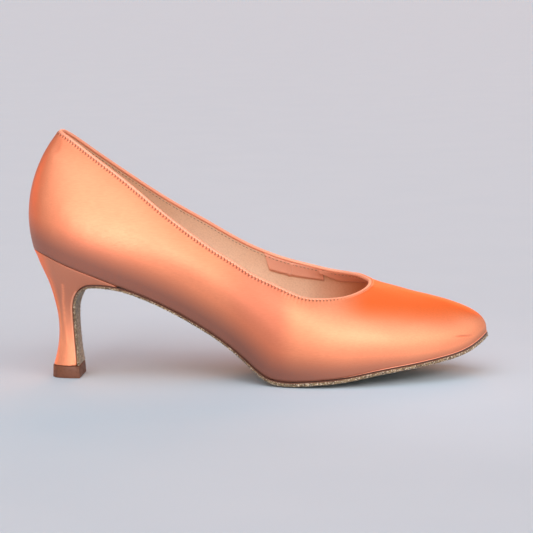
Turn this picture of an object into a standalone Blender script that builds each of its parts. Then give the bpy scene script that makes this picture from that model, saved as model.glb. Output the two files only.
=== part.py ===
"""Satin court dance shoe for the right foot, with a suede sole and a slim flared heel.

Metres. +X runs to the toe, +Y to the inner side of the foot, +Z up.
The origin is the centre of the heel tip's lower face, on the floor.
"""
import math

import bmesh
import bpy
import numpy as np

# Driving dimensions
LENGTH = 0.2360           # back of the upper to the tip of the toe
BALL_WIDTH = 0.0750       # across the upper's lower edge at the ball
HEEL_RISE = 0.0647        # back edge of the seat above the bed at the ball
TOE_SPRING = 0.0197       # toe's lower edge above the bed at the ball
BACK_HEIGHT = 0.0603      # wall at the back, from its lower edge to its rim
INSTEP_HEIGHT = 0.0464    # rim at the throat above the bed at the ball
BACK_OVERHANG = 0.0179    # how far the upper's back stands behind the heel tip's centre
WALL = 0.0016             # upper, satin with its backing and lining
BINDING_DIAMETER = 0.0013
SOLE = 0.0020             # suede at the forefoot
WAIST_SOLE = 0.0015       # suede at the waist
BREAST_SOLE = 0.0011      # suede at the foot of the heel's breast
SOLE_MARGIN = 0.0005      # the sole's edge stands outside the upper by this much
BED_ROUNDING = 0.0016     # the bed's middle lies this much below its edges at the ball
INSOLE = 0.0018
WING_EDGE = 0.0005        # edge of the heel under the seat
HEEL_INSET = 0.0003       # heel's top edge inside the upper's lower edge
TIP_LENGTH = 0.0155
TIP_WIDTH = 0.0193
TIP_HEIGHT = 0.0062
TIP_FLARE = 0.0003        # how far the tip spreads on each side, top to bottom
GAP = 0.0003              # between pieces that lie on each other

# Mesh fineness
STEPS_PER_SECTION = 3
WALL_STEPS = 8
RIB_STEPS = 6
HEEL_STEPS = 2
TIP_STEPS = 24
NUDGE = 0.0002            # way along a curve over which its direction is read
LEVEL_NUDGE_SHARE = 0.02  # the same on the heel, in levels

# Squareness of the heel's sections: 2 is an ellipse
TIP_EXPONENT = 2.8
HEEL_EXPONENT = 2.4

# The upper's sections, from the back to the toe, as shares.
# x, y: lower edge, of LENGTH and BALL_WIDTH. heel, spring: its height, of HEEL_RISE and TOE_SPRING.
# rim_x, rim_y: rim, of LENGTH and BALL_WIDTH.
# back, instep: its height above the lower edge's heel rise, of BACK_HEIGHT and INSTEP_HEIGHT.
# rise, flare: the wall's first handle, up and out. drop, reach: its second, down and out from the rim.
# The handles are shares of the straight line from the lower edge to the rim.
COLUMNS = ("x", "y", "heel", "spring", "rim_x", "rim_y", "back", "instep", "rise", "flare", "drop", "reach")

BACK_SHARES = (0.009, 0.000, 1.012, 0.000, 0.071, 0.000, 0.990, 0.000, 0.330, 0.095, 0.260, 0.232)

OUTER_SHARES = (
    (0.021, -0.147, 1.007, 0.000, 0.077, -0.075, 0.990, 0.000, 0.330, 0.105, 0.265, 0.215),
    (0.051, -0.247, 0.972, 0.000, 0.095, -0.123, 0.993, 0.000, 0.330, 0.130, 0.280, 0.200),
    (0.097, -0.303, 0.901, 0.000, 0.131, -0.177, 0.976, 0.000, 0.330, 0.150, 0.290, 0.190),
    (0.153, -0.325, 0.823, 0.000, 0.182, -0.235, 0.919, 0.000, 0.330, 0.165, 0.300, 0.180),
    (0.2055, -0.324, 0.745, 0.000, 0.238, -0.288, 0.843, 0.000, 0.320, 0.185, 0.300, 0.175),
    (0.278, -0.316, 0.636, 0.000, 0.309, -0.344, 0.680, 0.072, 0.320, 0.200, 0.300, 0.170),
    (0.347, -0.307, 0.505, 0.000, 0.377, -0.383, 0.580, 0.126, 0.330, 0.215, 0.310, 0.160),
    (0.411, -0.319, 0.363, 0.000, 0.432, -0.404, 0.500, 0.240, 0.340, 0.200, 0.310, 0.155),
    (0.462, -0.349, 0.230, 0.000, 0.475, -0.416, 0.400, 0.421, 0.340, 0.180, 0.310, 0.165),
    (0.500, -0.391, 0.113, 0.000, 0.508, -0.421, 0.300, 0.609, 0.340, 0.155, 0.310, 0.180),
    (0.530, -0.424, 0.036, 0.000, 0.538, -0.421, 0.200, 0.773, 0.340, 0.140, 0.300, 0.190),
    (0.568, -0.460, 0.000, 0.030, 0.572, -0.415, 0.100, 0.871, 0.350, 0.130, 0.280, 0.210),
    (0.623, -0.496, 0.000, 0.066, 0.610, -0.397, 0.000, 0.917, 0.360, 0.120, 0.230, 0.250),
    (0.691, -0.496, 0.000, 0.142, 0.653, -0.351, 0.000, 0.888, 0.380, 0.110, 0.190, 0.290),
    (0.767, -0.448, 0.000, 0.305, 0.695, -0.291, 0.000, 0.893, 0.380, 0.100, 0.175, 0.330),
    (0.843, -0.360, 0.000, 0.426, 0.724, -0.208, 0.000, 0.922, 0.330, 0.080, 0.155, 0.380),
    (0.911, -0.243, 0.000, 0.548, 0.740, -0.128, 0.000, 0.952, 0.280, 0.065, 0.140, 0.450),
    (0.966, -0.107, 0.000, 0.741, 0.747, -0.061, 0.000, 0.975, 0.235, 0.055, 0.130, 0.500),
)

TOE_SHARES = (0.9975, 0.064, 0.000, 1.000, 0.748, 0.004, 0.000, 0.986, 0.210, 0.051, 0.122, 0.530)

INNER_SHARES = (
    (0.021, 0.147, 1.007, 0.000, 0.077, 0.075, 0.989, 0.000, 0.330, 0.105, 0.265, 0.215),
    (0.051, 0.243, 0.972, 0.000, 0.095, 0.115, 0.983, 0.000, 0.330, 0.130, 0.280, 0.200),
    (0.097, 0.296, 0.901, 0.000, 0.131, 0.173, 0.944, 0.000, 0.330, 0.150, 0.290, 0.190),
    (0.153, 0.312, 0.823, 0.000, 0.182, 0.231, 0.871, 0.000, 0.330, 0.170, 0.300, 0.180),
    (0.2055, 0.303, 0.745, 0.000, 0.238, 0.277, 0.791, 0.000, 0.320, 0.195, 0.300, 0.170),
    (0.278, 0.275, 0.638, 0.000, 0.309, 0.323, 0.680, 0.044, 0.320, 0.225, 0.300, 0.155),
    (0.347, 0.256, 0.513, 0.000, 0.377, 0.360, 0.580, 0.136, 0.330, 0.240, 0.310, 0.140),
    (0.411, 0.261, 0.377, 0.000, 0.432, 0.387, 0.500, 0.256, 0.340, 0.225, 0.310, 0.140),
    (0.462, 0.301, 0.245, 0.000, 0.475, 0.403, 0.400, 0.451, 0.340, 0.195, 0.310, 0.150),
    (0.500, 0.352, 0.125, 0.000, 0.508, 0.411, 0.300, 0.675, 0.340, 0.165, 0.300, 0.165),
    (0.530, 0.395, 0.040, 0.000, 0.538, 0.413, 0.200, 0.867, 0.340, 0.140, 0.290, 0.180),
    (0.568, 0.437, 0.000, 0.030, 0.572, 0.408, 0.100, 1.005, 0.350, 0.125, 0.270, 0.200),
    (0.623, 0.483, 0.000, 0.060, 0.610, 0.392, 0.000, 1.094, 0.360, 0.110, 0.230, 0.230),
    (0.691, 0.497, 0.000, 0.137, 0.653, 0.353, 0.000, 1.056, 0.370, 0.100, 0.190, 0.270),
    (0.767, 0.483, 0.000, 0.300, 0.695, 0.291, 0.000, 1.038, 0.360, 0.090, 0.182, 0.320),
    (0.843, 0.435, 0.000, 0.422, 0.724, 0.213, 0.000, 1.026, 0.325, 0.075, 0.165, 0.380),
    (0.911, 0.352, 0.000, 0.540, 0.740, 0.136, 0.000, 1.009, 0.280, 0.065, 0.150, 0.450),
    (0.966, 0.233, 0.000, 0.735, 0.747, 0.069, 0.000, 1.002, 0.240, 0.055, 0.137, 0.500),
)

# The section at which the heel's wings end and the sole starts down the breast
BREAST_SECTION = 5

# The sections between which the sole thickens and its edge comes out from under the upper
SOLE_WIDENS = (8, 12)

# The heel's levels, from the tip to the seat, as shares of the way from one to the other.
# front_x, front_z: the breast. half: half its width. back_x, back_z: the back. seat: likeness to the seat.
HEEL_SHARES = (
    (0.000, 0.000, 0.000, 0.000, 0.000, 0.00),
    (-0.020, 0.131, -0.095, -0.198, 0.094, 0.00),
    (-0.045, 0.314, -0.155, -0.365, 0.219, 0.00),
    (-0.061, 0.498, -0.150, -0.401, 0.343, 0.00),
    (-0.065, 0.635, -0.090, -0.329, 0.459, 0.00),
    (-0.049, 0.739, 0.010, -0.174, 0.566, 0.05),
    (0.000, 0.828, 0.155, -0.012, 0.657, 0.12),
    (0.089, 0.911, 0.350, 0.198, 0.743, 0.22),
    (0.219, 0.975, 0.550, 0.437, 0.823, 0.35),
    (0.372, 1.011, 0.722, 0.653, 0.892, 0.50),
    (0.575, 1.023, 0.866, 0.808, 0.949, 0.68),
    (0.798, 1.016, 0.953, 0.915, 0.980, 0.85),
    (1.000, 1.000, 1.000, 1.000, 1.000, 1.00),
)


def spline(knots, values, closed):
    """A smooth curve through the values; a closed one has one knot more than it has values."""
    values = np.asarray(values, float)
    step = np.diff(knots)
    count = len(values)
    matrix = np.eye(count)
    right = np.zeros_like(values)
    for i in range(count) if closed else range(1, count - 1):
        after = (i + 1) % count
        matrix[i] = 0.0
        matrix[i, i - 1] += step[i - 1]
        matrix[i, i] += 2 * (step[i - 1] + step[i])
        matrix[i, after] += step[i]
        slope_change = (values[after] - values[i]) / step[i] - (values[i] - values[i - 1]) / step[i - 1]
        right[i] = 6 * slope_change
    bend = np.linalg.solve(matrix, right)

    def at(t):
        t = t % knots[-1] if closed else t
        i = min(max(int(np.searchsorted(knots, t, side="right")) - 1, 0), len(step) - 1)
        j = (i + 1) % count
        left, ahead, h = t - knots[i], knots[i + 1] - t, step[i]
        curve = (bend[i] * ahead ** 3 + bend[j] * left ** 3) / (6 * h)
        line = (values[i] / h - bend[i] * h / 6) * ahead + (values[j] / h - bend[j] * h / 6) * left
        return curve + line

    return at


class Last:
    """The form of the shoe: its lower edge, its rim and the wall between them, all round."""

    def __init__(self):
        table = (BACK_SHARES, *OUTER_SHARES, TOE_SHARES, *reversed(INNER_SHARES))
        rows = [dict(zip(COLUMNS, row)) for row in table]
        self.sections = len(rows)
        self.toe = self.sections // 2
        bed = SOLE + GAP
        edge = [(r["x"] * LENGTH - BACK_OVERHANG, r["y"] * BALL_WIDTH,
                 bed + r["heel"] * HEEL_RISE + r["spring"] * TOE_SPRING) for r in rows]
        rim = [(r["rim_x"] * LENGTH - BACK_OVERHANG, r["rim_y"] * BALL_WIDTH,
                bed + r["heel"] * HEEL_RISE + r["back"] * BACK_HEIGHT + r["instep"] * INSTEP_HEIGHT) for r in rows]
        handles = [(r["rise"], r["flare"], r["drop"], r["reach"]) for r in rows]
        spans = np.linalg.norm(np.diff(np.array(edge + edge[:1]), axis=0), axis=1)
        self.knots = np.concatenate([[0.0], np.cumsum(spans)])
        self.edge_curve = spline(self.knots, edge, closed=True)
        self.rim_curve = spline(self.knots, rim, closed=True)
        self.handle_curve = spline(self.knots, handles, closed=True)

    def knot(self, section):
        """How far round the lower edge a section lies; sections count from the back by the outer side."""
        return float(np.interp(section % self.sections, range(self.sections + 1), self.knots))

    def edge(self, section, outward=0.0):
        t = self.knot(section)
        return self.edge_curve(t) + outward * plan_normal(self.edge_curve, t)

    def wall(self, section):
        """The four points of the curve that the wall follows from its lower edge to its rim."""
        t = self.knot(section)
        low, high = self.edge_curve(t), self.rim_curve(t)
        rise, flare, drop, reach = self.handle_curve(t)
        chord = np.linalg.norm(high - low)
        across = (low - high) * (1, 1, 0)
        spread = np.linalg.norm(across) / chord
        way_out = plan_normal(self.rim_curve, t) * (1 - spread) + across / chord
        way_out /= np.linalg.norm(way_out)
        up = np.array((0.0, 0.0, 1.0))
        first = low + chord * (rise * up + flare * plan_normal(self.edge_curve, t))
        second = high + chord * (reach * way_out - drop * up)
        return low, first, second, high

    def rib(self, section, outward=0.0, height=0.0):
        """Points across the bed from the outer edge to the inner one."""
        points = sagging_line(self.edge(section, outward), self.edge(self.sections - section, outward), 1.0)
        for point in points:
            point[2] = max(point[2], SOLE + GAP) + height
        return points


def sagging_line(start, end, amount):
    """Points from one edge of the bed to the other, with a share of the bed's rounding."""
    sag = amount * BED_ROUNDING * abs(end[1] - start[1]) / BALL_WIDTH
    shares = [k / RIB_STEPS for k in range(RIB_STEPS + 1)]
    return [start + (end - start) * share - (0, 0, sag * 4 * share * (1 - share)) for share in shares]


def plan_normal(curve, t):
    """The level direction out of a closed curve that runs outer side first, seen from above."""
    along = (curve(t + NUDGE) - curve(t - NUDGE)) * (1, 1, 0)
    along /= np.linalg.norm(along)
    return np.array((along[1], -along[0], 0.0))


def bezier(points, share):
    rest = 1 - share
    weights = (rest ** 3, 3 * rest ** 2 * share, 3 * rest * share ** 2, share ** 3)
    return sum(weight * point for weight, point in zip(weights, points))


def material(name, colour, roughness, metallic=0.0):
    made = bpy.data.materials.new(name)
    made.use_nodes = True
    shader = made.node_tree.nodes["Principled BSDF"]
    shader.inputs["Base Color"].default_value = (*colour, 1.0)
    shader.inputs["Roughness"].default_value = roughness
    shader.inputs["Metallic"].default_value = metallic
    return made


def add_object(name, bm, finish, collection, sharp_angle=50):
    bmesh.ops.recalc_face_normals(bm, faces=bm.faces)
    mesh = bpy.data.meshes.new(name)
    bm.to_mesh(mesh)
    bm.free()
    mesh.shade_smooth()
    mesh.set_sharp_from_angle(angle=math.radians(sharp_angle))
    mesh.materials.append(finish)
    made = bpy.data.objects.new(name, mesh)
    collection.objects.link(made)
    return made


def section_steps(first, last):
    """Fine steps from one section to another, both included."""
    count = (last - first) * STEPS_PER_SECTION
    return [first + k / STEPS_PER_SECTION for k in range(count + 1)]


def make_upper(last, finish, collection):
    """An open band from the lower edge to the rim, thickened inwards."""
    bm = bmesh.new()
    columns = []
    for section in section_steps(0, last.sections)[:-1]:
        curve = last.wall(section)
        columns.append([bm.verts.new(bezier(curve, k / WALL_STEPS)) for k in range(WALL_STEPS + 1)])
    for this, after in zip(columns, columns[1:] + columns[:1]):
        for k in range(WALL_STEPS):
            bm.faces.new((this[k], after[k], after[k + 1], this[k + 1]))
    upper = add_object("upper", bm, finish, collection)
    thick = upper.modifiers.new("wall", "SOLIDIFY")
    thick.thickness = WALL
    thick.offset = -1
    thick.use_even_offset = True
    return upper


def make_binding(last, finish, collection):
    """A round roll of satin that follows the rim, on the middle of the wall's edge."""
    stand = BINDING_DIAMETER / 2 + GAP
    data = bpy.data.curves.new("topline_binding", "CURVE")
    data.dimensions = "3D"
    data.bevel_depth = BINDING_DIAMETER / 2
    data.bevel_resolution = 2
    path = data.splines.new("POLY")
    steps = section_steps(0, last.sections)[:-1]
    path.points.add(len(steps) - 1)
    for point, section in zip(path.points, steps):
        low, first, second, high = last.wall(section)
        upwards = (high - second) / np.linalg.norm(high - second)
        t = last.knot(section)
        along = last.rim_curve(t + NUDGE) - last.rim_curve(t - NUDGE)
        outwards = np.cross(along, upwards)
        outwards /= np.linalg.norm(outwards)
        point.co = (*(high + upwards * stand - outwards * WALL / 2), 1.0)
    path.use_cyclic_u = True
    binding = bpy.data.objects.new("topline_binding", data)
    data.materials.append(finish)
    collection.objects.link(binding)
    return binding


def ribbed_plate(upper_ribs, lower_ribs):
    """A closed plate between two sets of ribs; a rib of one point closes an end."""
    bm = bmesh.new()
    tops = [[bm.verts.new(p) for p in rib] for rib in upper_ribs]
    bottoms = [[bm.verts.new(p) for p in rib] for rib in lower_ribs]

    def skin(ribs):
        for one, other in zip(ribs, ribs[1:]):
            for k in range(max(len(one), len(other)) - 1):
                corners = (one[min(k, len(one) - 1)], one[min(k + 1, len(one) - 1)],
                           other[min(k + 1, len(other) - 1)], other[min(k, len(other) - 1)])
                bm.faces.new(list(dict.fromkeys(corners)))

    skin(tops)
    skin(bottoms)
    for side in (0, -1):
        for k in range(len(tops) - 1):
            bm.faces.new((tops[k][side], tops[k + 1][side], bottoms[k + 1][side], bottoms[k][side]))
    for end in (0, -1):
        for k in range(len(tops[end]) - 1):
            bm.faces.new((tops[end][k], tops[end][k + 1], bottoms[end][k + 1], bottoms[end][k]))
    return bm


def make_insole(last, finish, collection):
    """Lies on the bed inside the upper, from the seat to the toe."""
    inset = -(WALL + 2 * GAP)

    def ribs(height):
        found = [last.rib(section, inset, height) for section in section_steps(0, last.toe)]
        found[0] = found[0][:1]
        found[-1] = found[-1][:1]
        return found

    return add_object("insole", ribbed_plate(ribs(INSOLE), ribs(0.0)), finish, collection)


class HeelForm:
    """The heel from its tip to the seat, and the curve of its breast."""

    def __init__(self, last):
        self.last = last
        self.foot_z = TIP_HEIGHT + GAP
        self.foot_front = TIP_LENGTH / 2 - TIP_FLARE - BREAST_SOLE - GAP
        self.foot_back = -(TIP_LENGTH / 2 - 2 * TIP_FLARE)
        self.foot_half = TIP_WIDTH / 2 - 2 * TIP_FLARE
        side = section_steps(0, BREAST_SECTION)
        round_seat = [s for s in reversed(side)] + [last.sections - s for s in side[1:]]
        self.seat = [last.edge(s, -HEEL_INSET) - (0, 0, GAP + WING_EDGE) for s in round_seat]
        self.middle = len(self.seat) // 2
        spans = [np.linalg.norm(b - a) for a, b in zip(self.seat, self.seat[1:])]
        self.way_round = np.concatenate([[0.0], np.cumsum(spans)]) / sum(spans)
        rows = range(len(HEEL_SHARES))
        self.level = spline(np.array(rows, float), HEEL_SHARES, closed=False)
        self.top_level = len(HEEL_SHARES) - 1

    def frame(self, level):
        """Breast and back of a level, half its width and its likeness to the seat."""
        front_x, front_z, half, back_x, back_z, seat = self.level(level)
        corner, back = self.seat[0], self.seat[self.middle]
        return ((self.foot_front + front_x * (corner[0] - self.foot_front),
                 self.foot_z + front_z * (corner[2] - self.foot_z)),
                (self.foot_back + back_x * (back[0] - self.foot_back),
                 self.foot_z + back_z * (back[2] - self.foot_z)),
                self.foot_half + half * (abs(corner[1]) - self.foot_half), seat)

    def side(self, level):
        """The level's outline from the outer corner round the back to the inner corner."""
        (front_x, front_z), (back_x, back_z), half, likeness = self.frame(level)
        power = 2 / HEEL_EXPONENT
        outer, inner, back = self.seat[0], self.seat[-1], self.seat[self.middle]
        points = []
        for place, way in zip(self.seat, self.way_round):
            corner = outer if place[1] < 0 else inner
            angle = math.pi * way
            shape = np.array((abs(math.sin(angle)) ** power,
                              math.copysign(abs(math.cos(angle)) ** power, -math.cos(angle)),
                              abs(math.sin(angle)) ** power))
            seat_shape = np.array(((place[0] - corner[0]) / (back[0] - corner[0]),
                                   place[1] / abs(outer[1]),
                                   (place[2] - corner[2]) / (back[2] - corner[2])))
            shape += (seat_shape - shape) * likeness
            points.append(np.array((front_x + shape[0] * (back_x - front_x), shape[1] * half,
                                    front_z + shape[2] * (back_z - front_z))))
        return points

    def breast(self, level, out):
        """Points across the breast, moved out of it; the outer corner comes first."""
        outline = self.side(level)
        (ahead_x, ahead_z), _, _, _ = self.frame(min(level + LEVEL_NUDGE_SHARE, self.top_level))
        (behind_x, behind_z), _, _, _ = self.frame(max(level - LEVEL_NUDGE_SHARE, 0.0))
        run, climb = ahead_x - behind_x, ahead_z - behind_z
        size = math.hypot(run, climb)
        shift = np.array((climb / size, 0.0, -run / size)) * out
        likeness = self.frame(level)[-1]
        return [point + shift for point in sagging_line(outline[0], outline[-1], likeness)]

    def levels(self):
        count = self.top_level * HEEL_STEPS
        return [k / HEEL_STEPS for k in range(count + 1)]


def make_outsole(last, heel, finish, collection):
    """One piece of suede from the toe through the waist and down the breast of the heel."""
    tops = []
    bottoms = []
    for level in heel.levels():
        thick = BREAST_SOLE + (WAIST_SOLE - BREAST_SOLE) * level / heel.top_level
        tops.append(heel.breast(level, GAP))
        bottoms.append(heel.breast(level, GAP + thick))
    for section in section_steps(BREAST_SECTION, last.toe)[1:]:
        share = float(np.interp(section, SOLE_WIDENS, (0.0, 1.0)))
        thick = WAIST_SOLE + (SOLE - WAIST_SOLE) * share
        margin = SOLE_MARGIN * share
        tops.append(last.rib(section, margin, -GAP))
        bottoms.append(last.rib(section, margin, -GAP - thick))
    tops[-1] = tops[-1][:1]
    bottoms[-1] = bottoms[-1][:1]
    return add_object("outsole", ribbed_plate(tops, bottoms), finish, collection)


def make_heel(last, heel, finish, collection):
    """Levels of the heel joined from its foot to the seat, with the bed's own curve on top."""
    bm = bmesh.new()
    loops = [heel.side(level) + heel.breast(level, 0.0)[-2:0:-1] for level in heel.levels()]
    loops.append([p + (0, 0, WING_EDGE) for p in loops[-1]])
    rings = [[bm.verts.new(p) for p in loop] for loop in loops]
    for below, above in zip(rings, rings[1:]):
        for k in range(len(below)):
            after = (k + 1) % len(below)
            bm.faces.new((below[k], below[after], above[after], above[k]))
    bm.faces.new(rings[0])

    top = rings[-1]
    sides = len(heel.seat)
    seat_ribs = [[top[0], *reversed(top[sides:]), top[sides - 1]]]
    for k, section in enumerate(reversed(section_steps(0, BREAST_SECTION)[1:-1]), start=1):
        inner_points = last.rib(section, -HEEL_INSET, -GAP)[1:-1]
        seat_ribs.append([top[k], *[bm.verts.new(p) for p in inner_points], top[sides - 1 - k]])
    for one, other in zip(seat_ribs, seat_ribs[1:]):
        for k in range(RIB_STEPS):
            bm.faces.new((one[k], one[k + 1], other[k + 1], other[k]))
    closing = seat_ribs[-1]
    for k in range(RIB_STEPS):
        bm.faces.new((closing[k], closing[k + 1], top[heel.middle]))
    return add_object("heel", bm, finish, collection, sharp_angle=40)


def make_heel_tip(finish, collection):
    """Top piece of the heel: straight in front, round behind, spreading a little to the floor."""
    bm = bmesh.new()
    rings = []
    for height, shrink in ((0.0, 0.0), (TIP_HEIGHT, TIP_FLARE)):
        front = TIP_LENGTH / 2 - shrink
        half = TIP_WIDTH / 2 - shrink
        ring = []
        for k in range(TIP_STEPS + 1):
            angle = math.pi * k / TIP_STEPS
            along = abs(math.sin(angle)) ** (2 / TIP_EXPONENT)
            across = math.copysign(abs(math.cos(angle)) ** (2 / TIP_EXPONENT), -math.cos(angle))
            ring.append(bm.verts.new((front - along * 2 * front, across * half, height)))
        rings.append(ring)
    low, high = rings
    for k in range(len(low)):
        after = (k + 1) % len(low)
        bm.faces.new((low[k], low[after], high[after], high[k]))
    bm.faces.new(low)
    bm.faces.new(high)
    return add_object("heel_tip", bm, finish, collection, sharp_angle=40)


def main():
    for old in list(bpy.data.objects):
        bpy.data.objects.remove(old, do_unlink=True)
    collection = bpy.data.collections.new("satin_dance_shoe")
    bpy.context.scene.collection.children.link(collection)

    satin = material("coral satin", (0.89, 0.27, 0.11), 0.45)
    binding_satin = material("pink satin binding", (0.90, 0.36, 0.22), 0.5)
    lining = material("beige lining", (0.72, 0.50, 0.35), 0.8)
    suede = material("grey brown suede", (0.26, 0.19, 0.12), 0.95)
    tip_rubber = material("brown top piece", (0.20, 0.07, 0.035), 0.45)

    last = Last()
    heel = HeelForm(last)
    make_upper(last, satin, collection)
    make_binding(last, binding_satin, collection)
    make_insole(last, lining, collection)
    make_outsole(last, heel, suede, collection)
    make_heel(last, heel, satin, collection)
    make_heel_tip(tip_rubber, collection)


main()
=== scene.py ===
import bpy
import bmesh
import math
from mathutils import Vector, Matrix, noise
from mathutils.bvhtree import BVHTree
from mathutils.kdtree import KDTree


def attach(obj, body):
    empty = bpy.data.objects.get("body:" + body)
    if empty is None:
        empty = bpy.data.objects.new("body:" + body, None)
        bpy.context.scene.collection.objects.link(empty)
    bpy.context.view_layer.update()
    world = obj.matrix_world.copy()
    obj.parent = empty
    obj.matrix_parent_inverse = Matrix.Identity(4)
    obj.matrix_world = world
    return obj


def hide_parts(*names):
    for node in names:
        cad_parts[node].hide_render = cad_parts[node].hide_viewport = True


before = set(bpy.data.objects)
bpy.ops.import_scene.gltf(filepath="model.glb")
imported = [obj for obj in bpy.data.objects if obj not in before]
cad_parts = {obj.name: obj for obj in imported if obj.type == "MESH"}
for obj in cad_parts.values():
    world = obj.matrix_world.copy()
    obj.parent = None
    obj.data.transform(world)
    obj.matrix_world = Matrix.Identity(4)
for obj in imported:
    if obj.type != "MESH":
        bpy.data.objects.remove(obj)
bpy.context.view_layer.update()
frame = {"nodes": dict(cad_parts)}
nodes = frame["nodes"]
mm = 0.001
print("frame loaded:", ", ".join(nodes))


# shared helpers: colours, nodes, materials

def linearColour(hexCode):
    channels = [int(hexCode[i:i + 2], 16) / 255 for i in (1, 3, 5)]
    linear = [c / 12.92 if c <= 0.04045 else ((c + 0.055) / 1.055) ** 2.4 for c in channels]
    return (*linear, 1.0)


def addNode(tree, kind, inputs=None, **settings):
    # an input is a value, a hex colour, a socket or a node, whose first working output is then linked
    node = tree.nodes.new("ShaderNode" + kind)
    for name, value in settings.items():
        setattr(node, name, value)
    for name, value in (inputs or {}).items():
        if isinstance(value, str):
            value = linearColour(value)
        if isinstance(value, bpy.types.Node):
            value = next(output for output in value.outputs if output.enabled)
        if isinstance(value, bpy.types.NodeSocket):
            tree.links.new(value, node.inputs[name])
        else:
            node.inputs[name].default_value = value
    return node


def newMaterial(name):
    material = bpy.data.materials.new(name)
    material.use_nodes = True
    tree = material.node_tree
    tree.nodes.clear()
    return material, tree, addNode(tree, "TexCoord").outputs["Object"]


# shared helpers: skins

def mergedSkin(node):
    # a copy of a CAD node as one closed skin, mostly of four-sided faces
    skin = bmesh.new()
    skin.from_mesh(nodes[node].data)
    bmesh.ops.remove_doubles(skin, verts=skin.verts, dist=0.01 * mm)
    bmesh.ops.join_triangles(skin, faces=skin.faces, angle_face_threshold=math.radians(60),
                             angle_shape_threshold=math.radians(60))
    return skin


def markCreases(skin, angle, amount):
    layer = skin.edges.layers.float.get("crease_edge") or skin.edges.layers.float.new("crease_edge")
    for edge in skin.edges:
        if len(edge.link_faces) == 2 and edge.calc_face_angle(0) > math.radians(angle):
            edge[layer] = amount


def roundedSkin(skin, levels):
    mesh = bpy.data.meshes.new("work")
    skin.to_mesh(mesh)
    skin.free()
    work = bpy.data.objects.new("work", mesh)
    bpy.context.collection.objects.link(work)
    modifier = work.modifiers.new("Rounding", "SUBSURF")
    modifier.levels = modifier.render_levels = levels
    result = bmesh.new()
    result.from_object(work, bpy.context.evaluated_depsgraph_get())
    bpy.data.objects.remove(work)
    bpy.data.meshes.remove(mesh)
    result.normal_update()
    return result


def finishPiece(name, skin, materials, slot, *replaced):
    mesh = bpy.data.meshes.new(name)
    for face in skin.faces:
        face.smooth = True
    skin.to_mesh(mesh)
    skin.free()
    piece = bpy.data.objects.new(name, mesh)
    bpy.context.collection.objects.link(piece)
    for material in materials:
        mesh.materials.append(material)
    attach(piece, "root")
    if replaced:
        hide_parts(*replaced)
    print(name, len(mesh.polygons), "faces")
    return piece


def floodFaces(seed, angle):
    # the faces that join the seed without crossing a sharp edge
    found = {seed}
    waiting = [seed]
    while waiting:
        for edge in waiting.pop().edges:
            if len(edge.link_faces) == 2 and edge.calc_face_angle(0) < math.radians(angle):
                for face in edge.link_faces:
                    if face not in found:
                        found.add(face)
                        waiting.append(face)
    return found


def softStep(value, low, high):
    share = max(0.0, min(1.0, (value - low) / (high - low)))
    return share * share * (3 - 2 * share)


def treeOf(points):
    tree = KDTree(len(points))
    for i, p in enumerate(points):
        tree.insert(p, i)
    tree.balance()
    return tree


def alongEdges(edges, step=0.4 * mm):
    # points along some edges of a skin
    points = []
    for edge in edges:
        a, b = (v.co for v in edge.verts)
        parts = max(1, round((b - a).length / step))
        points += [a.lerp(b, i / parts) for i in range(parts + 1)]
    return points


def refine(skin, wanted):
    edges = [e for e in skin.edges if all(wanted(v) for v in e.verts)]
    bmesh.ops.subdivide_edges(skin, edges=edges, cuts=1, use_grid_fill=True)
    skin.normal_update()


def partTree(skin, indices):
    # a search tree of the faces with these material numbers
    mesh = bpy.data.meshes.new("work")
    skin.to_mesh(mesh)
    part = bmesh.new()
    part.from_mesh(mesh)
    bpy.data.meshes.remove(mesh)
    others = [f for f in part.faces if f.material_index not in indices]
    bmesh.ops.delete(part, geom=others, context="FACES")
    tree = BVHTree.FromBMesh(part)
    part.free()
    return tree


def tubeSkin(points, radii, closed, sides=3):
    # a round cord through the points
    curve = bpy.data.curves.new("work", "CURVE")
    curve.dimensions = "3D"
    curve.bevel_depth = 1.0
    curve.bevel_resolution = sides
    curve.use_fill_caps = not closed
    spline = curve.splines.new("POLY")
    spline.points.add(len(points) - 1)
    for point, place, radius in zip(spline.points, points, radii):
        point.co = (*place, 1)
        point.radius = radius
    spline.use_cyclic_u = closed
    cord = bpy.data.objects.new("work", curve)
    bpy.context.collection.objects.link(cord)
    mesh = bpy.data.meshes.new_from_object(cord.evaluated_get(bpy.context.evaluated_depsgraph_get()))
    skin = bmesh.new()
    skin.from_mesh(mesh)
    bpy.data.meshes.remove(mesh)
    bpy.data.objects.remove(cord)
    bpy.data.curves.remove(curve)
    bmesh.ops.remove_doubles(skin, verts=skin.verts, dist=0.001 * mm)
    bmesh.ops.recalc_face_normals(skin, faces=skin.faces)
    return skin


lyingBall = Matrix.Rotation(math.radians(90), 4, "Y")  # the ball's poles at the thread's ends


def addStitch(skin, place, along, normal, length, radius):
    # one short thread, a stretched ball with few faces
    across = normal.cross(along).normalized()
    turn = Matrix((along.normalized() * length / 2, across * radius, normal * radius)).transposed().to_4x4()
    turn.translation = place
    bmesh.ops.create_uvsphere(skin, u_segments=6, v_segments=5, radius=1.0, matrix=turn @ lyingBall)


def downWall(along, normal):
    # the way down a wall, square to the collar
    down = along.cross(normal)
    return -down if down.z > 0 else down


def applyMoves(moves):
    for vert, move in moves:
        vert.co += move


# camera and light: the photograph's angle, turned until the shoe lies in its frame

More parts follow.
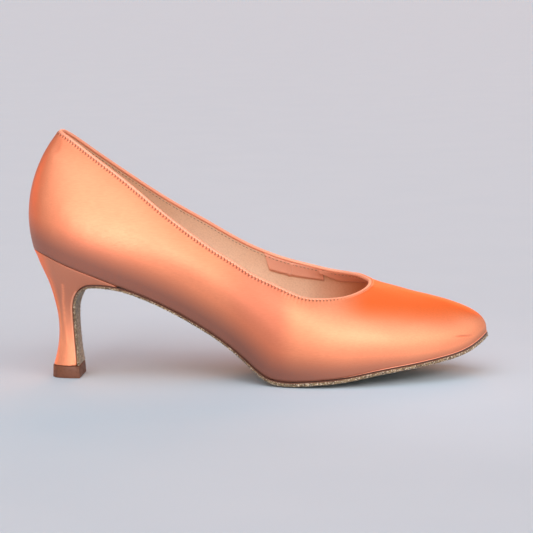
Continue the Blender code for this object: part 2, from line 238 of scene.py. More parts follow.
view = {
    "azimuth": 5.8, "elevation": 8.2, "roll": -1.15,
    "target": (104.9 * mm, 0.0, 56.55 * mm),
    "distance": 1.181, "lens": 155.34, "sensor": 36.0,
}
azimuth, elevation, roll = (math.radians(view[k]) for k in ("azimuth", "elevation", "roll"))
backward = Vector((math.sin(azimuth) * math.cos(elevation),
                   -math.cos(azimuth) * math.cos(elevation), math.sin(elevation)))
sideways = Vector((math.cos(azimuth), math.sin(azimuth), 0))
upward = backward.cross(sideways)
cameraRight = sideways * math.cos(roll) + upward * math.sin(roll)
cameraUp = upward * math.cos(roll) - sideways * math.sin(roll)
cameraData = bpy.data.cameras.new("camera")
cameraData.lens = view["lens"]
cameraData.sensor_width = view["sensor"]
cameraData.clip_end = 200
camera = bpy.data.objects.new("camera", cameraData)
bpy.context.collection.objects.link(camera)
placing = Matrix((cameraRight, cameraUp, backward)).transposed().to_4x4()
placing.translation = Vector(view["target"]) + backward * view["distance"]
camera.matrix_world = placing
bpy.context.scene.camera = camera
bpy.context.scene.view_settings.view_transform = "Standard"

# plain studio light: broad suns from the camera's side, from above and from the toe's side, warm ones from
# behind and from the heel's side, and two soft lamps, one for the quarter and one for the forefoot
suns = [
    # name, direction towards the light, its angle in degrees, strength, colour
    ("keyLight", (-0.10, -1.0, 0.34), 50, 0.78, "#FFF2E8"),
    ("fillLight", (0.15, -0.75, 0.70), 50, 0.55, "#FFF6F0"),
    ("sideLight", (0.80, -0.45, 0.38), 36, 0.75, "#FFEFE2"),
    ("topLight", (-0.20, -0.45, 1.0), 70, 1.05, "#F8F8FF"),
    ("backLight", (0.10, 0.90, 0.50), 40, 1.1, "#FF9858"),
    ("heelLight", (-1.0, 0.55, 0.15), 24, 0.5, "#FF8030"),
]
lamps = [
    # name, place and aim in mm, width in mm, angle of the beam in degrees, power in watts, colour
    ("quarterLamp", (-90, -520, 110), (6, -20, 94), 120, 27, 4.1, "#FFECF0"),
    ("toeLamp", (360, -420, 250), (176, -18, 27), 140, 25, 3.6, "#FFECF0"),
]
for name, towards, angle, strength, colour in suns:
    data = bpy.data.lights.new(name, "SUN")
    data.energy = strength
    data.angle = math.radians(angle)
    data.color = linearColour(colour)[:3]
    lamp = bpy.data.objects.new(name, data)
    bpy.context.collection.objects.link(lamp)
    lamp.rotation_euler = Vector(towards).to_track_quat("Z", "Y").to_euler()
for name, place, aim, width, beam, power, colour in lamps:
    data = bpy.data.lights.new(name, "SPOT")
    data.energy = power
    data.color = linearColour(colour)[:3]
    data.shadow_soft_size = width / 2 * mm
    data.spot_size = math.radians(beam)
    data.spot_blend = 1.0
    lamp = bpy.data.objects.new(name, data)
    bpy.context.collection.objects.link(lamp)
    lamp.location = Vector(place) * mm
    lamp.rotation_euler = (Vector(place) - Vector(aim)).to_track_quat("Z", "Y").to_euler()

world = bpy.data.worlds.new("studio")
bpy.context.scene.world = world
world.use_nodes = True
sky = world.node_tree.nodes["Background"]
sky.inputs["Color"].default_value = linearColour("#E6EBF2")
sky.inputs["Strength"].default_value = 0.32

# Floor: matt emulsion paint, rolled on, with a faint unevenness 60 mm across.
floorMaterial, tree, coords = newMaterial("emulsionPaint")
rolled = addNode(tree, "TexNoise", {"Vector": coords, "Scale": 1 / (60 * mm), "Detail": 1.0})
paint = addNode(tree, "Mix", {0: rolled, 6: "#CADCE8", 7: "#C6D9E6"}, data_type="RGBA")
shader = addNode(tree, "BsdfPrincipled", {"Base Color": paint, "Roughness": 0.9})
addNode(tree, "OutputMaterial", {"Surface": shader})
ground = {"halfWidth": 60, "drop": 0.05 * mm}
floorSkin = bmesh.new()
bmesh.ops.create_grid(floorSkin, x_segments=1, y_segments=1, size=ground["halfWidth"])
bmesh.ops.translate(floorSkin, verts=floorSkin.verts, vec=(0, 0, -ground["drop"]))
floorMesh = bpy.data.meshes.new("floor")
floorSkin.to_mesh(floorMesh)
floorSkin.free()
floorMesh.materials.append(floorMaterial)
floor = bpy.data.objects.new("floor", floorMesh)
bpy.context.collection.objects.link(floor)
print("camera, lights and floor set")


# the collar line: the middle of the rolled binding, once round from the back

collar = {"step": 0.25 * mm, "cuts": 16, "ahead": 6}


def collarPoints():
    skin = mergedSkin("topline_binding")
    # half of the edges run round the roll, and they are the short ones
    shortEdge = 1.1 * sorted(edge.calc_length() for edge in skin.edges)[len(skin.verts) // 2]
    rings = []
    ringOf = {}
    for start in skin.verts:
        if start in ringOf:
            continue
        ring = [start]
        ringOf[start] = len(rings)
        for vert in ring:
            for edge in vert.link_edges:
                other = edge.other_vert(vert)
                if edge.calc_length() < shortEdge and other not in ringOf:
                    ringOf[other] = len(rings)
                    ring.append(other)
        rings.append(ring)
    centres = [sum((v.co for v in ring), Vector()) / len(ring) for ring in rings]
    nextTo = [set() for ring in rings]
    for edge in skin.edges:
        a, b = (ringOf[v] for v in edge.verts)
        if a != b:
            nextTo[a].add(b)
            nextTo[b].add(a)
    print("collar rings:", len(rings))
    here = min(range(len(centres)), key=lambda i: centres[i].x)
    order = [here]
    following = min(nextTo[here], key=lambda i: centres[i].y)
    while following != order[0]:
        order.append(following)
        steps = [i for i in nextTo[following] if i not in order]
        if not steps:
            break
        following = steps[0]
    skin.free()
    return [centres[i] for i in order]


def evenLoop(points, step):
    # a smooth closed line through the points, at even steps
    dense = []
    count = len(points)
    for i in range(count):
        a, b, c, d = (points[(i + k) % count] for k in (-1, 0, 1, 2))
        for j in range(collar["cuts"]):
            t = j / collar["cuts"]
            dense.append(0.5 * ((2 * b) + (c - a) * t + (2 * a - 5 * b + 4 * c - d) * t ** 2
                                + (3 * b - a - 3 * c + d) * t ** 3))
    lengths = [(dense[(i + 1) % len(dense)] - dense[i]).length for i in range(len(dense))]
    total = sum(lengths)
    number = round(total / step)
    even, walked, i = [], 0.0, 0
    for k in range(number):
        goal = total * k / number
        while walked + lengths[i] < goal:
            walked += lengths[i]
            i += 1
        even.append(dense[i].lerp(dense[(i + 1) % len(dense)], (goal - walked) / lengths[i]))
    return even, total


collarLine, collarLength = evenLoop(collarPoints(), collar["step"])
collarTree = treeOf(collarLine)
print("collar line:", round(collarLength / mm, 1), "mm")


def nearCollar(point):
    # distance from the collar line, and how far round the shoe that is
    found, index, distance = collarTree.find(point)
    return distance, index * collarLength / len(collarLine)


def runAt(x, side):
    # how far round the collar is the point at x on one side: -1 the outer, 1 the inner
    choices = [i for i, p in enumerate(collarLine) if p.y * side > 0]
    best = min(choices, key=lambda i: abs(collarLine[i].x - x * mm))
    return best * collarLength / len(collarLine)


# the upper: outer and inner skins of one wall

upper = {
    "sharp": 50, "rimCrease": 0.55, "levels": 2, "farFromRim": 12 * mm,
    # where the mesh is cut finer: by distance from the collar, the snag and the back seam, and at the gathers
    "fineZone": 6.5 * mm, "finestZone": 4.0 * mm, "frontZone": 9.0 * mm, "front": (112 * mm, 150 * mm),
    "snagZone": 2.5 * mm, "finestSnag": 1.6 * mm, "seamZone": 2.0 * mm, "seamTo": 6 * mm,
    "gathersFrom": 192 * mm, "gathersSide": (-21 * mm, -7 * mm), "gathersTop": 24 * mm,
    # the collar seam
    "stitchPitch": 1.8 * mm, "seamDrop": 1.75 * mm,
    "holeDepth": 0.26 * mm, "holeLength": 0.34 * mm, "holeHeight": 0.75 * mm, "holeLean": 0.40,
    "holeFade": 0.75, "seamReach": 10 * mm, "toothStart": (0.9 * mm, 1.7 * mm),
    "toothHeight": 0.09 * mm, "toothEnd": 3.8 * mm, "frontTooth": 8.5 * mm,
    "toothEven": 0.7, "toothUneven": 1.4, "toothLeast": 0.1, "toothFade": 0.6, "toothHighlight": 0.4,
    "nearFront": (108 * mm, 122 * mm), "foldFrom": (138 * mm, 152 * mm),
    "foldHeight": 0.50 * mm, "foldDrop": 1.95 * mm, "foldWidth": 0.27 * mm,
    # the cloth over its stiffener, and the seam at the back edge
    "unevenness": 0.09 * mm, "slowWave": 13 * mm, "fastWave": 3.5 * mm, "fastShare": 0.25,
    "backSeam": 0.14 * mm, "backSeamWidth": 0.32 * mm, "backSeamReach": 2.5 * mm,
}
# where painted shade and painted reflection change the cloth's colour: lengths from the heel, the lower
# wall's width, and how far a face looks up or back
zones = {
    "toToe": (85 * mm, 205 * mm), "lowWidth": 20 * mm, "lowWidthToe": 4 * mm, "toeLess": 0.45,
    "mauveShade": (0.1, 1.15), "warmShade": (0.55, 1.5),
    "ballFrom": (78 * mm, 102 * mm), "ballTo": (112 * mm, 124 * mm), "innerBall": 0.5,
    "facingUp": (0.50, 0.85), "warmReflection": (138 * mm, 160 * mm),
    "facingBack": (0.35, 0.90), "backTo": (0, 12 * mm),
    "rimWidth": 7.5 * mm, "rimTo": (110 * mm, 140 * mm),
}
stitchCount = round(collarLength / upper["stitchPitch"])
stitchPitch = collarLength / stitchCount

# soft troughs and ridges: the places in mm along the crease, its width and its height in mm, with a minus
# for a trough
creases = [
    # dent under the rim at the back of the heel, and the trough that runs forward from it
    ([(-3.5, -9.0, 119.0), (2.1, -11.2, 120.4)], 3.0, -0.55),
    ([(2.0, -12.0, 119.0), (10.2, -17.5, 111.6), (24, -23, 100)], 2.8, -0.24),
    ([(-7, -9, 117), (1.0, -14.4, 114.9)], 2.4, 0.20),
    # short drag lines that radiate from the back edge
    ([(-11.3, -11.8, 102.5), (-5, -17.5, 104)], 1.0, -0.26),
    ([(-12.0, -12.0, 100.4), (-4, -19, 100)], 0.9, -0.24),
    ([(-9.6, -15.9, 98.3), (-2, -20.6, 95.5)], 1.0, -0.24),
    ([(-11.8, -12.6, 97.0), (-6, -19, 92)], 0.9, -0.20),
    # bands at the ball, where the foot bends the vamp
    ([(103.5, -36.5, 38), (104.4, -35.4, 19.5), (107, -33.6, 9)], 5.0, -0.22),
    ([(111.5, -36.5, 38), (112.5, -37.6, 22), (115, -36, 9)], 4.2, 0.10),
    ([(116.9, -36.0, 40), (119.8, -39.0, 20.1), (122, -37.5, 8)], 4.0, -0.16),
    ([(124.2, -33.3, 42), (128.8, -39.6, 17.7), (131, -38, 8)], 3.6, -0.12),
    # the vamp settles a little behind the toe box
    ([(156, -22, 38), (160, 2, 43), (158, 22, 37)], 7.0, -0.25),
    ([(176, -15, 35), (178, 6, 38.5), (175, 24, 32)], 6.0, -0.15),
    # small gathers over the edge at the toe
    ([(196, -18.5, 14.5), (197.5, -18.6, 19)], 0.9, -0.12),
    ([(200, -16, 15.5), (201.5, -16, 19.5)], 0.9, -0.12),
    ([(204, -13.5, 17), (205, -13.2, 20.5)], 0.9, -0.11),
    ([(208, -9.5, 18.5), (208.5, -9.5, 22)], 0.9, -0.11),
    # inner side: the same bend at the ball, softer
    ([(108, 36, 36), (110, 37.6, 20), (112, 37, 10)], 4.4, -0.34),
    ([(118, 37, 36), (120, 39, 20), (122, 38, 9)], 3.6, 0.18),
    ([(126, 35, 38), (129, 39, 20)], 3.6, -0.26),
    ([(-1.6, 11.1, 118.7), (10.2, 17.5, 111.6)], 3.0, -0.30),
    ([(60, 30, 58), (84, 29, 40)], 7.0, -0.30),
    # outer side: a long shallow hollow in the waist
    ([(46, -31, 66), (78, -31.5, 44)], 7.5, -0.28),
]
# the small snag at the toe: a slit with a frayed lip
snag = {"from": (200.6, -15.4, 22.3), "to": (210.9, -7.2, 21.6), "width": 0.55 * mm, "depth": 0.32 * mm,
        "reach": 3 * mm, "lipShare": 0.4, "lipOff": 0.9 * mm, "lipWidth": 0.4 * mm}

skin = mergedSkin("upper")
skin.normal_update()
# one face of each skin: the foremost outside, and inside the rearmost that looks forwards
toeFace = max(skin.faces, key=lambda f: f.calc_center_median().x)
backFace = min((f for f in skin.faces if f.normal.x > 0.9), key=lambda f: f.calc_center_median().x)
outerFaces = floodFaces(toeFace, upper["sharp"])
innerFaces = floodFaces(backFace, upper["sharp"])
for face in skin.faces:
    # for now 0 is the outside, 1 the inside and 2 the rim and the feather edge
    face.material_index = 0 if face in outerFaces else 1 if face in innerFaces else 2
markCreases(skin, upper["sharp"], upper["rimCrease"])
skin = roundedSkin(skin, upper["levels"])
print("upper rounded:", len(skin.faces), "faces")

featherEdges = [e for e in skin.edges if {f.material_index for f in e.link_faces} == {0, 2}
                and nearCollar(e.verts[0].co)[0] > upper["farFromRim"]]
featherPoints = alongEdges(featherEdges)
featherTree = treeOf(featherPoints)
roughTree = partTree(skin, {0})
snagStart, snagEnd = (roughTree.find_nearest(Vector(snag[k]) * mm)[0] for k in ("from", "to"))


def outside(vert):
    return all(f.material_index != 1 for f in vert.link_faces)


def collarZone(vert, reach):
    return outside(vert) and nearCollar(vert.co)[0] < reach


def snagDistance(point):
    # how far off the snag is, and at what share of its length
    way = snagEnd - snagStart
    share = max(0.0, min(1.0, (point - snagStart).dot(way) / way.length_squared))
    return (point - snagStart - way * share).length, share


def fineZone(vert):
    atFront = upper["front"][0] < vert.co.x < upper["front"][1] and vert.co.y < 0
    return collarZone(vert, upper["fineZone"]) or (atFront and collarZone(vert, upper["frontZone"]))


def finestZone(vert):
    x, y, z = vert.co
    atSeam = abs(y) < upper["seamZone"] and x < upper["seamTo"]
    atGathers = (x > upper["gathersFrom"] and upper["gathersSide"][0] < y < upper["gathersSide"][1]
                 and z < upper["gathersTop"])
    return (collarZone(vert, upper["finestZone"]) or snagDistance(vert.co)[0] < upper["snagZone"]
            or (outside(vert) and (atSeam or atGathers)))


refine(skin, fineZone)
refine(skin, finestZone)
refine(skin, lambda vert: snagDistance(vert.co)[0] < upper["finestSnag"])
print("stitch zone cut:", len(skin.faces), "faces")
outerTree = partTree(skin, {0})
innerTree = partTree(skin, {1})


def snappedPath(tree, points, step=1.0 * mm):
    # a line on the surface through the given places
    corners = [tree.find_nearest(Vector(p) * mm)[0] for p in points]
    path = []
    for a, b in zip(corners, corners[1:]):
        parts = max(2, round((b - a).length / step))
        path += [tree.find_nearest(a.lerp(b, i / parts))[0] for i in range(parts)]
    return path + [corners[-1]]


crease = {"step": 0.25 * mm, "reach": 3, "ends": (-0.1, 0.4)}
creasePaths = []
for points, width, height in creases:
    path = snappedPath(outerTree, points, crease["step"])
    middle = path[len(path) // 2]
    reach = max((p - middle).length for p in path) + crease["reach"] * width * mm
    creasePaths.append((treeOf(path), len(path) - 1, width * mm, height * mm, middle, reach))


def creaseLift(point):
    lift = 0.0
    for tree, last, width, height, middle, reach in creasePaths:
        if (point - middle).length < reach:
            found, index, distance = tree.find(point)
            if distance < crease["reach"] * width:
                share = index / last
                ends = softStep(min(share, 1 - share), *crease["ends"])
                lift += height * ends * math.exp(-(distance / width) ** 2)
    return lift


def stitchShape(distance, run, point):
    # needle holes just under the binding, and the small teeth that the thread pulls up below them;
    # at the front of the throat the binding's own folded edge covers the holes
    front = softStep(point.x, *upper["foldFrom"])
    near = softStep(point.x, *upper["nearFront"]) * (1 - front) if point.y < 0 else 0.0
    number = run / stitchPitch
    chance = noise.noise(Vector((math.floor(number) * 0.73, 0.3, 0.0)))
    uneven = max(upper["toothLeast"], upper["toothEven"] + upper["toothUneven"] * chance)
    drop = distance - upper["seamDrop"]
    along = (number - round(number)) * stitchPitch + upper["holeLean"] * drop
    hole = math.exp(-(along / upper["holeLength"]) ** 2 - (drop / upper["holeHeight"]) ** 2)
    hole *= 1 - upper["holeFade"] * front
    end = upper["toothEnd"] + near * (upper["frontTooth"] - upper["toothEnd"])
    fade = softStep(end - distance, 0, end - upper["seamDrop"]) * softStep(distance, *upper["toothStart"])
    ridgeAndHighlight = fade * (0.5 - 0.5 * math.cos(2 * math.pi * number)) * uneven * (1 - upper["toothFade"] * front)
    fold = front * math.exp(-((distance - upper["foldDrop"]) / upper["foldWidth"]) ** 2)
    return hole, ridgeAndHighlight, fold


# the satin reads these as attributes: how strongly each place and mark tints the cloth; all but the snag
# are painted shade, painted reflection or painted highlight
marks = {name: skin.verts.layers.float.new(name) for name in (
    "needleHoleShade", "ridgeAndHighlight", "mauveShade", "snag", "warmReflection", "rimShade", "ballShade", "warmShade", "backEdgeShade")}
moves = []
for vert in skin.verts:
    if not (outside(vert) and any(f.material_index == 0 for f in vert.link_faces)):
        continue
    point = vert.co
    distance, run = nearCollar(point)
    lift = creaseLift(point)
    # slow unevenness of cloth over a stiffener
    lift += upper["unevenness"] * noise.noise(point / upper["slowWave"])
    lift += upper["fastShare"] * upper["unevenness"] * noise.noise(point / upper["fastWave"])
    if distance < upper["seamReach"]:
        hole, ridgeAndHighlight, fold = stitchShape(distance, run, point)
        lift += upper["toothHeight"] * ridgeAndHighlight - upper["holeDepth"] * hole + upper["foldHeight"] * fold
        # painted shade in the needle holes
        vert[marks["needleHoleShade"]] = hole
        # painted highlight on the teeth and on the binding's fold
        vert[marks["ridgeAndHighlight"]] = max(upper["toothHighlight"] * ridgeAndHighlight, fold)
    if abs(point.y) < upper["backSeamReach"] and point.x < upper["seamTo"]:
        lift -= upper["backSeam"] * math.exp(-(point.y / upper["backSeamWidth"]) ** 2)
    slit, share = snagDistance(point)
    if slit < snag["reach"]:
        ends = math.sin(math.pi * share)
        vert[marks["snag"]] = ends * math.exp(-(slit / snag["width"]) ** 2)
        lift -= snag["depth"] * vert[marks["snag"]]
        lip = ends * math.exp(-((slit - snag["lipOff"]) / snag["lipWidth"]) ** 2)
        lift += snag["lipShare"] * snag["depth"] * lip
    found, index, rise = featherTree.find(point)
    toToe = softStep(point.x, *zones["toToe"])
    toBall = softStep(point.x, *zones["ballFrom"])
    pastBall = softStep(point.x, *zones["ballTo"])
    overVamp = softStep(point.x, *zones["warmReflection"])
    pastBack = softStep(point.x, *zones["backTo"])
    pastRim = softStep(point.x, *zones["rimTo"])
    lowWidth = zones["lowWidth"] + (zones["lowWidthToe"] - zones["lowWidth"]) * toToe
    aboveLow = softStep(rise, *(share * lowWidth for share in zones["mauveShade"]))
    aboveWarm = softStep(rise, *(share * lowWidth for share in zones["warmShade"]))
    # painted shade: the lower wall darkened to mauve, less towards the toe
    vert[marks["mauveShade"]] = (1 - zones["toeLess"] * toToe) * (1 - aboveLow)
    # painted shade: a warm darker band over the lower wall
    vert[marks["warmShade"]] = (1 - toToe) * (1 - aboveWarm)
    # painted shade across the ball, half as much on the inner side
    vert[marks["ballShade"]] = toBall * (1 - pastBall) * (1 if point.y < 0 else zones["innerBall"])
    # painted shade with a warm reflection where the cloth faces back at the back edge
    vert[marks["backEdgeShade"]] = softStep(-vert.normal.x, *zones["facingBack"]) * (1 - pastBack)
    # painted warm reflection on the vamp's upward faces
    vert[marks["warmReflection"]] = softStep(vert.normal.z, *zones["facingUp"]) * overVamp
    # painted shade in a band under the rim
    vert[marks["rimShade"]] = math.exp(-(distance / zones["rimWidth"]) ** 2) * (1 - pastRim)
    moves.append((vert, vert.normal * lift))
applyMoves(moves)
for face in skin.faces:
    # satin turns in at the feather edge, and lining comes up to the binding at the rim
    if face.material_index == 2:
        face.material_index = 0 if nearCollar(face.calc_center_median())[0] > upper["farFromRim"] else 1
skin.normal_update()
print("creases and stitches shaped")

# Duchess satin: polyester filament woven satin, glued over a stiff backing. Broad soft sheen; where it
# turns dull and reddish away from the light, that is painted shade laid on by the layers below, beside
# painted reflection and painted highlight. Filaments are 0.1 mm, too fine to show, so the slubs are drawn
# 0.5 mm wide and run along the cloth.
satinLook = {
    "blotch": 24 * mm, "slub": 0.5 * mm, "speck": 0.8 * mm,
    "slubDepth": 0.035 * mm, "speckDepth": 0.03 * mm, "metallic": 0.45, "roughness": (0.42, 0.50),
}


def satinCloth(name, threadStretch):
    # the slubs run along the axis whose stretch is below 1
    material, tree, coords = newMaterial(name)
    blotch = addNode(tree, "TexNoise", {"Vector": coords, "Scale": 1 / satinLook["blotch"], "Detail": 2.0})
    drawn = addNode(tree, "Mapping", {"Vector": coords, "Scale": threadStretch})
    slub = addNode(tree, "TexNoise", {"Vector": drawn, "Scale": 1 / satinLook["slub"], "Detail": 2.0})
    speck = addNode(tree, "TexNoise", {"Vector": coords, "Scale": 1 / satinLook["speck"], "Detail": 3.0})
    colour = addNode(tree, "Mix", {0: blotch, 6: "#FFA478", 7: "#F8966C"}, data_type="RGBA")
    # each layer: the attribute that says where, from and to, how much, and the colour laid on there
    layers = [
        # painted warm reflection
        ("warmReflection", 0.0, 1.0, 0.90, "#FF6E18"),
        # painted shade under the rim
        ("rimShade", 0.0, 1.0, 0.60, "#EE8258"),
        # painted shade at the back edge
        ("backEdgeShade", 0.0, 1.0, 0.75, "#B0542A"),
        # painted shade at the ball
        ("ballShade", 0.0, 1.0, 0.72, "#D07456"),
        # painted shade, warm, over the lower wall
        ("warmShade", 0.0, 1.0, 0.50, "#D27450"),
        # painted shade, mauve, on the lower wall and on the heel
        ("mauveShade", 0.1, 0.9, 0.84, "#845A50"),
        # painted highlight on the teeth, the fold and the heel's turned-in edge
        ("ridgeAndHighlight", 0.1, 1.0, 0.70, "#FFBC9A"),
        # painted shade in the needle holes
        ("needleHoleShade", 0.15, 0.8, 0.75, "#94583F"),
        ("snag", 0.2, 0.9, 0.65, "#DC6238"),
    ]
    for attribute, low, high, amount, hexCode in layers:
        place = addNode(tree, "Attribute", attribute_name=attribute)
        share = addNode(tree, "MapRange", {"Value": place.outputs["Fac"], "From Min": low, "From Max": high,
                                           "To Max": amount})
        colour = addNode(tree, "Mix", {0: share, 6: colour, 7: hexCode}, data_type="RGBA")
    streak = addNode(tree, "MapRange", {"Value": slub, "From Min": 0.35, "From Max": 0.7, "To Max": 0.16})
    colour = addNode(tree, "Mix", {0: streak, 6: colour, 7: "#C86840"}, data_type="RGBA")
    smooth, dimmed = satinLook["roughness"]
    rough = addNode(tree, "MapRange", {"Value": speck, "From Min": 0.3, "From Max": 0.7,
                                       "To Min": smooth, "To Max": dimmed})
    weave = addNode(tree, "Bump", {"Height": slub, "Distance": satinLook["slubDepth"]})
    grain = addNode(tree, "Bump", {"Height": speck, "Distance": satinLook["speckDepth"], "Normal": weave})
    shader = addNode(tree, "BsdfPrincipled", {
        "Base Color": colour, "Metallic": satinLook["metallic"], "Roughness": rough, "Normal": grain,
        "Specular IOR Level": 0.6, "Sheen Weight": 0.10, "Sheen Roughness": 0.5,
        "Sheen Tint": "#FFB890"})
    addNode(tree, "OutputMaterial", {"Surface": shader})
    return material


satin = satinCloth("duchessSatin", (0.16, 1, 1))


# inside the toe the cloth is in deep, warm shade
throat = {"shadeFrom": 122 * mm, "shadeTo": 152 * mm, "amount": 0.8}


def throatShade(tree, coords, colour, deep):
    place = addNode(tree, "SeparateXYZ", {"Vector": coords})
    depth = addNode(tree, "MapRange", {"Value": place.outputs["X"], "From Min": throat["shadeFrom"],
                                       "From Max": throat["shadeTo"], "To Max": throat["amount"]})
    return addNode(tree, "Mix", {0: depth, 6: colour, 7: deep}, data_type="RGBA")


def waveScale(period):
    # the wave texture draws 20 / (2 * pi) bands to a unit at scale 1
    return 0.314 / period


# Lining: brushed cotton drill, matt beige. Its 0.5 mm twill is drawn at 0.9 mm so that it shows.
lining, tree, coords = newMaterial("cottonDrill")
blotch = addNode(tree, "TexNoise", {"Vector": coords, "Scale": 1 / (16 * mm), "Detail": 3.0})
twill = addNode(tree, "TexWave", {"Vector": coords, "Scale": waveScale(0.9 * mm), "Distortion": 3.0,
                                  "Detail": 2.0}, wave_type="BANDS", bands_direction="DIAGONAL")
yarn = addNode(tree, "TexNoise", {"Vector": coords, "Scale": 1 / (0.8 * mm), "Detail": 3.0})
colour = addNode(tree, "Mix", {0: blotch, 6: "#FADCC0", 7: "#F2CEAE"}, data_type="RGBA")
ribs = addNode(tree, "MapRange", {"Value": twill, "To Max": 0.05})
colour = addNode(tree, "Mix", {0: ribs, 6: colour, 7: "#C89C74"}, data_type="RGBA")
fluff = addNode(tree, "MapRange", {"Value": yarn, "From Min": 0.4, "From Max": 0.75, "To Max": 0.3})
colour = addNode(tree, "Mix", {0: fluff, 6: colour, 7: "#C8A284"}, data_type="RGBA")
drill = addNode(tree, "Bump", {"Height": twill, "Distance": 0.015 * mm})
colour = throatShade(tree, coords, colour, "#D06418")
nap = addNode(tree, "Bump", {"Height": yarn, "Distance": 0.06 * mm, "Normal": drill})
shader = addNode(tree, "BsdfPrincipled", {"Base Color": colour, "Roughness": 0.85, "Normal": nap,
                                          "Sheen Weight": 0.6, "Sheen Roughness": 0.4,
                                          "Sheen Tint": "#FFF0DC"})
addNode(tree, "OutputMaterial", {"Surface": shader})

# Bias binding: the same satin cut on the bias, a little pinker and paler. Its 0.1 mm filaments are drawn at
# 0.45 mm to show.
binding, tree, coords = newMaterial("biasCutSatin")
yarn = addNode(tree, "TexNoise", {"Vector": coords, "Scale": 1 / (0.45 * mm), "Detail": 2.0})
blotch = addNode(tree, "TexNoise", {"Vector": coords, "Scale": 1 / (9 * mm), "Detail": 2.0})
colour = addNode(tree, "Mix", {0: blotch, 6: "#FFB898", 7: "#FCAA88"}, data_type="RGBA")
ply = addNode(tree, "MapRange", {"Value": yarn, "From Min": 0.35, "From Max": 0.65, "To Max": 0.3})
colour = addNode(tree, "Mix", {0: ply, 6: colour, 7: "#EC8A68"}, data_type="RGBA")
ribbed = addNode(tree, "Bump", {"Height": yarn, "Distance": 0.04 * mm})
shader = addNode(tree, "BsdfPrincipled", {
    "Base Color": colour, "Metallic": 0.2, "Roughness": 0.40, "Normal": ribbed, "Specular IOR Level": 0.6,
    "Sheen Weight": 0.2, "Sheen Tint": "#FFD2B4"})
addNode(tree, "OutputMaterial", {"Surface": shader})

finishPiece("satinUpper", skin, [satin, lining], "satin", "upper")

# the rolled binding: a cord of bias-cut satin along the collar, leaning over the inner edge of the rim
topline = {"radius": 0.94 * mm, "bulge": 0.05 * mm, "pointsPerStitch": 5, "inwards": 0.42 * mm}
rollCount = stitchCount * topline["pointsPerStitch"]
rollPoints = []
for i in range(rollCount):
    point = collarLine[int(i * len(collarLine) / rollCount)]
    inwards = (innerTree.find_nearest(point)[0] - point).normalized()
    rollPoints.append(point + inwards * topline["inwards"])
rollRadii = [topline["radius"] - topline["bulge"] * math.cos(2 * math.pi * i / topline["pointsPerStitch"])
             for i in range(rollCount)]
finishPiece("toplineRoll", tubeSkin(rollPoints, rollRadii, True), [binding], "binding", "topline_binding")

# the thin turned lip that stands over the sole round the toe
featherLip = {"from": 146 * mm, "full": 172 * mm, "radius": 0.19 * mm, "thinEnd": 0.25, "step": 1.0 * mm,
              "out": 0.12 * mm, "up": 0.18 * mm, "middle": (150 * mm, 0, 0)}


def orderedPath(points, step):
    # walks through unordered points from the first, each time to one ahead that lies about a step away
    tree = treeOf(points)
    path = [points[0]]
    heading = None
    while True:
        near = [p for p, i, d in tree.find_range(path[-1], 2.2 * step) if d > 0.6 * step
                and (heading is None or (p - path[-1]).dot(heading) > 0.3 * (p - path[-1]).length)]
        if not near:
            return path
        best = min(near, key=lambda p: abs((p - path[-1]).length - step))
        heading = (best - path[-1]).normalized()
        path.append(best.copy())
        if len(path) > 30 and (path[-1] - path[0]).length < 1.5 * step:
            return path


forward = [p for p in featherPoints if p.x > featherLip["from"]]
forward.sort(key=lambda p: (p.y > 0, p.x))
lipPath = orderedPath(forward, featherLip["step"])
lipPoints = []
lipRadii = []
for p in lipPath:
    outwards = ((p - Vector(featherLip["middle"])) * Vector((1, 1, 0))).normalized()
    lipPoints.append(p + outwards * featherLip["out"] + Vector((0, 0, featherLip["up"])))
    thick = softStep(p.x, featherLip["from"], featherLip["full"])
    lipRadii.append(featherLip["radius"] * (featherLip["thinEnd"] + (1 - featherLip["thinEnd"]) * thick))
print("lip points:", len(lipPoints))
finishPiece("featherLip", tubeSkin(lipPoints, lipRadii, False), [binding], "satin")

# threads of the collar seam, sunk in the needle holes
stitch = {"length": 2.0 * mm, "radius": 0.24 * mm, "lean": 62, "unevenLean": 8, "sink": 0.05 * mm,
          "frontFade": 0.4, "fadeOver": (100 * mm, 140 * mm), "until": 143 * mm}


def pointBelow(tree, start, away, distance, step=0.5 * mm):
    # the point of the surface at the given distance from the start, walking straight away from it
    point, normal, index, gap = tree.find_nearest(start)
    heading = (away - normal * away.dot(normal)).normalized()
    travelled = (point - start).length
    while travelled < distance:
        pace = min(step, distance - travelled)
        point, normal, index, gap = tree.find_nearest(point + heading * pace)
        heading = (heading - normal * heading.dot(normal)).normalized()
        travelled += pace
    return point, normal


def collarFrame(run):
    # the place and the direction of the collar line at a run round it
    count = len(collarLine)
    i = int(run / collarLength * count) % count
    place = collarLine[i]
    along = (collarLine[(i + collar["ahead"]) % count] - collarLine[i - collar["ahead"]]).normalized()
    return place, along


seam = bmesh.new()
for k in range(stitchCount):
    place, along = collarFrame(k * stitchPitch)
    if place.x > stitch["until"]:
        continue
    point, normal, index, gap = outerTree.find_nearest(place)
    point, normal = pointBelow(outerTree, place, downWall(along, normal), upper["seamDrop"])
    lean = math.radians(stitch["lean"] + stitch["unevenLean"] * noise.noise(Vector((k * 0.9, 1.0, 0))))
    threadWay = (along * math.cos(lean) + downWall(along, normal) * math.sin(lean)).normalized()
    size = 1 - stitch["frontFade"] * softStep(place.x, *stitch["fadeOver"])
    addStitch(seam, point - normal * stitch["sink"], threadWay, normal, stitch["length"] * size,
              stitch["radius"] * size)


